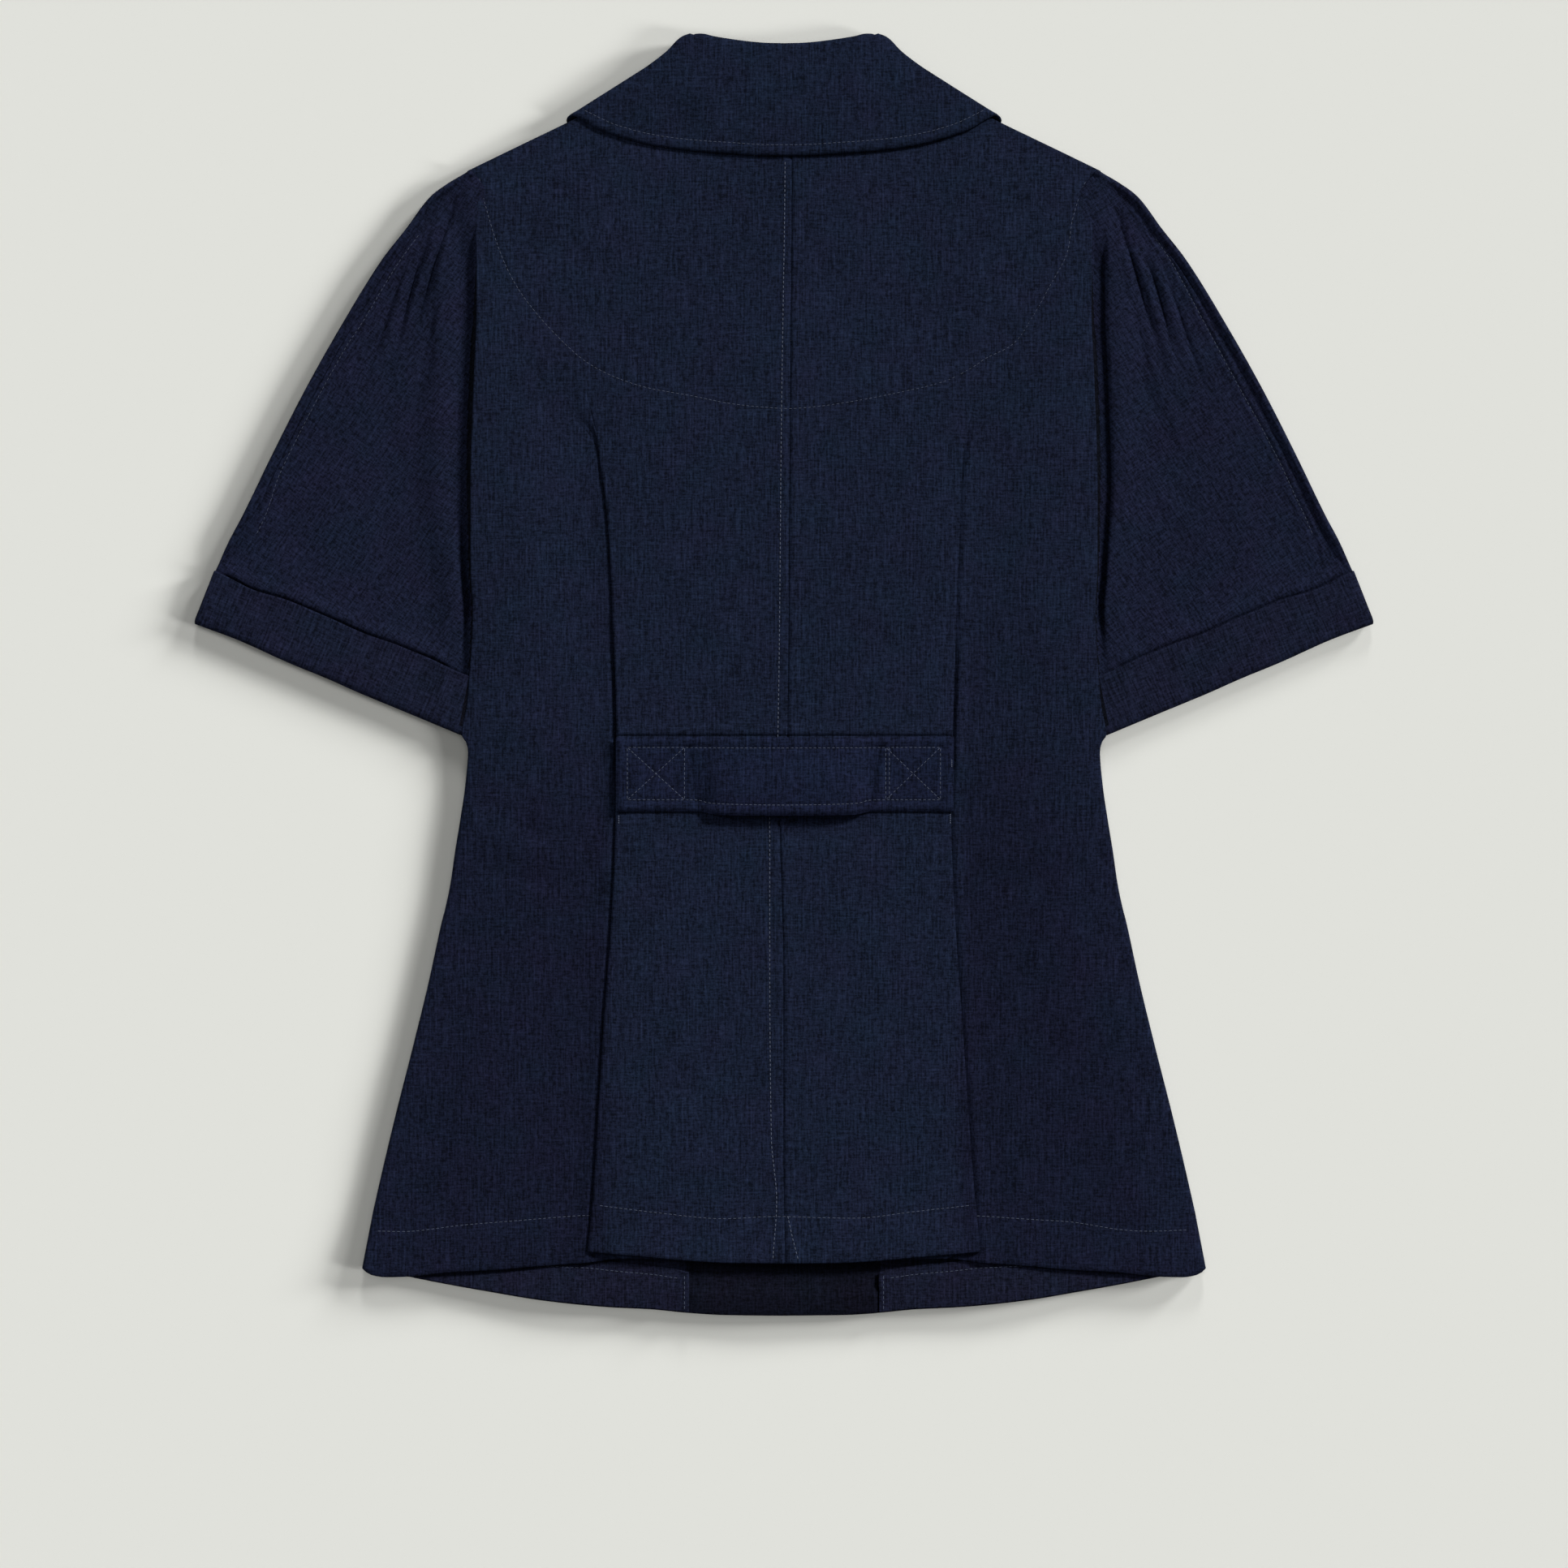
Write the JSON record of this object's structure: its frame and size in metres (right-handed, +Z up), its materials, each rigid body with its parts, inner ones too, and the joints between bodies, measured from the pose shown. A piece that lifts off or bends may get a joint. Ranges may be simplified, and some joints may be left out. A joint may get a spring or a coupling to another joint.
{
  "type": "short-sleeved blazer",
  "caption": "Short-sleeved tailored jacket laid flat, back up, with turned-up cuffs, a rolled collar, a box-pleated back panel under a stitched half-belt, and a flared hem.",
  "frame": {"origin": "centre of the garment's outline on the surface it lies on", "axes": "+X towards the wearer's right sleeve, +Y from hem to collar, +Z up out of the surface, with the back of the garment up"},
  "size_m": [0.6688, 0.7258, 0.0187],
  "materials": {
    "linen": "matte navy linen, plain weave with slubs",
    "linen_sleeve": "matte navy linen, plain weave on the bias",
    "linen_belt": "matte navy linen, two layers, topstitched",
    "linen_inside": "matte navy linen, inside of the cloth",
    "button": "dark navy, satin"
  },
  "bodies": {
    "root": {"back_left": "linen", "back_right": "linen", "front_right": "linen", "front_left": "linen", "front_hem_right": "linen_inside", "front_hem_left": "linen_inside", "sleeve_back_right": "linen_sleeve", "sleeve_front_right": "linen_sleeve", "sleeve_back_left": "linen_sleeve", "sleeve_front_left": "linen_sleeve", "cuff_right": "linen_sleeve", "cuff_left": "linen_sleeve", "collar": "linen", "lapel_right": "linen", "lapel_left": "linen", "back_belt": "linen_belt", "button_1": "button", "button_2": "button", "button_3": "button", "button_4": "button"}
  },
  "joints": []
}
